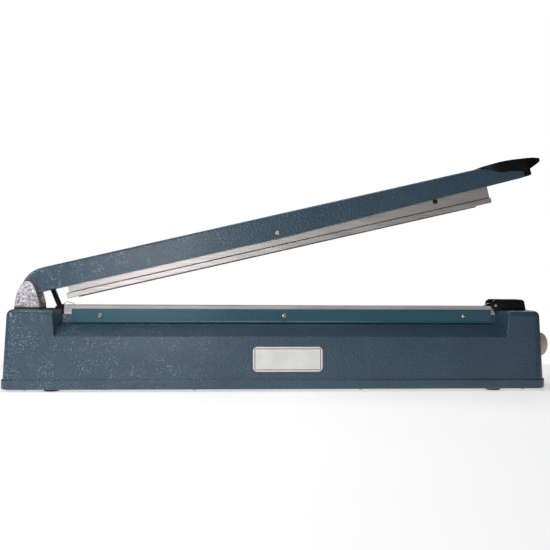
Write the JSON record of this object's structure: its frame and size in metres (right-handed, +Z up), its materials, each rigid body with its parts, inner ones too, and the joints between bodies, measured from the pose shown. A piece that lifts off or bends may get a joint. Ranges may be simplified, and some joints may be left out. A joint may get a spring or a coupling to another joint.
{
  "type": "impulse heat sealer",
  "caption": "Hand-operated impulse heat sealer: a long hammertone base with a heated bed, and a hinged arm with a press bar, timer knob and sprung switch.",
  "frame": {"origin": "on the floor under the middle of the overall length and width", "axes": "+X along the base towards the timer knob, -Y is the front, +Z up"},
  "size_m": [0.77, 0.0964, 0.3306],
  "materials": {
    "aluminium": "mill-finish extrusion",
    "black_plastic": "moulded, fine texture",
    "black_rubber": "moulded, matte",
    "black_steel": "black oxide",
    "brass": "machined",
    "bright_steel": "nickel plated, satin",
    "capacitor_sleeve": "shrink sleeve",
    "cast_aluminium": "die cast, tumbled",
    "circuit_board": "glass epoxy",
    "coil_tape": "polyester tape",
    "core_steel": "varnished laminations",
    "dial_face": "printed aluminium",
    "grey_plastic": "moulded, satin",
    "hammertone": "hammertone enamel, semi-gloss",
    "label_vinyl": "blank vinyl",
    "lamp_red": "clear tinted lens",
    "lead_pvc": "PVC insulation",
    "nichrome": "rolled ribbon",
    "phenolic": "phenolic moulding",
    "ptfe_cloth": "PTFE-coated glass cloth",
    "relay_plastic": "moulded case",
    "silicone": "silicone, matte",
    "spring_steel": "heat-tinted spring steel",
    "strip_paint": "smooth gloss enamel",
    "zinc_steel": "zinc plated sheet"
  },
  "bodies": {
    "base": {"base_casing": "hammertone", "base_plate": "zinc_steel", "base_plate_screws": "bright_steel", "bed_bar": "aluminium", "bed_bar_screws": "bright_steel", "board_leads": "lead_pvc", "clamp_screws": "bright_steel", "clamp_strip_front": "strip_paint", "clamp_strip_rear": "strip_paint", "cord_grommet": "black_rubber", "dial_plate": "dial_face", "element_leads": "lead_pvc", "element_springs": "spring_steel", "foot_screws": "bright_steel", "front_label": "label_vinyl", "guide_block": "black_plastic", "guide_block_screws": "black_steel", "guide_side_screws": "bright_steel", "heating_element": "nichrome", "hinge_bracket": "cast_aluminium", "hinge_bracket_screws": "bright_steel", "hinge_gasket": "black_rubber", "hinge_pin": "bright_steel", "hinge_washers": "black_plastic", "indicator_lamp": "lamp_red", "insulating_tape": "ptfe_cloth", "microswitch": "black_plastic", "microswitch_bracket": "bright_steel", "microswitch_screws": "bright_steel", "panel_nut": "bright_steel", "potentiometer": "bright_steel", "ptfe_cover": "ptfe_cloth", "return_spring": "black_steel", "rubber_feet": "black_rubber", "spring_seat": "black_plastic", "terminal_blocks": "phenolic", "terminal_screws": "brass", "timer_board": "circuit_board", "timer_capacitor": "capacitor_sleeve", "timer_relay": "relay_plastic", "transformer_coil": "coil_tape", "transformer_core": "core_steel", "transformer_frame": "bright_steel", "transformer_screws": "bright_steel"},
    "arm": {"arm_shell": "hammertone", "hinge_bush": "brass", "upper_spring_seat": "black_plastic", "bar_pivot_screw": "bright_steel", "bar_pivot_nut": "bright_steel", "bar_pivot_spacers": "black_plastic", "handle": "black_plastic", "handle_screws": "bright_steel"},
    "press_bar_body": {"press_bar": "aluminium", "silicone_strip": "silicone", "bar_side_screw": "black_steel", "bar_side_nut": "black_steel"},
    "knob": {"timer_knob": "grey_plastic", "timer_shaft": "bright_steel"},
    "plunger": {"switch_plunger": "black_plastic"}
  },
  "joints": [
    {"name": "arm_hinge", "type": "hinge", "parent": "base", "child": "arm", "pos_m": [-0.35395, 0, 0.1374], "axis": [0, 1, 0], "range_deg": [0, 12.33], "stiffness_Nm_per_rad": 6, "springref_deg": -91.67, "deforming": ["return_spring"]},
    {"name": "press_bar_rock", "type": "hinge", "parent": "arm", "child": "press_bar_body", "pos_m": [-0.00836, 0, 0.21905], "axis": [0, 1, 0], "range_deg": [0, 0.78]},
    {"name": "timer_turn", "type": "hinge", "parent": "base", "child": "knob", "pos_m": [0.36535, 0, 0.0616], "axis": [1, 0, 0], "range_deg": [-150, 150]},
    {"name": "switch_press", "type": "slide", "parent": "base", "child": "plunger", "axis": [0, 0, 1], "range_m": [-0.0025, 0], "stiffness_N_per_m": 400, "springref_m": 0.001}
  ],
  "couplings": [
    {"joint": "press_bar_rock", "follows": "arm_hinge", "ratio": 0.06215}
  ]
}
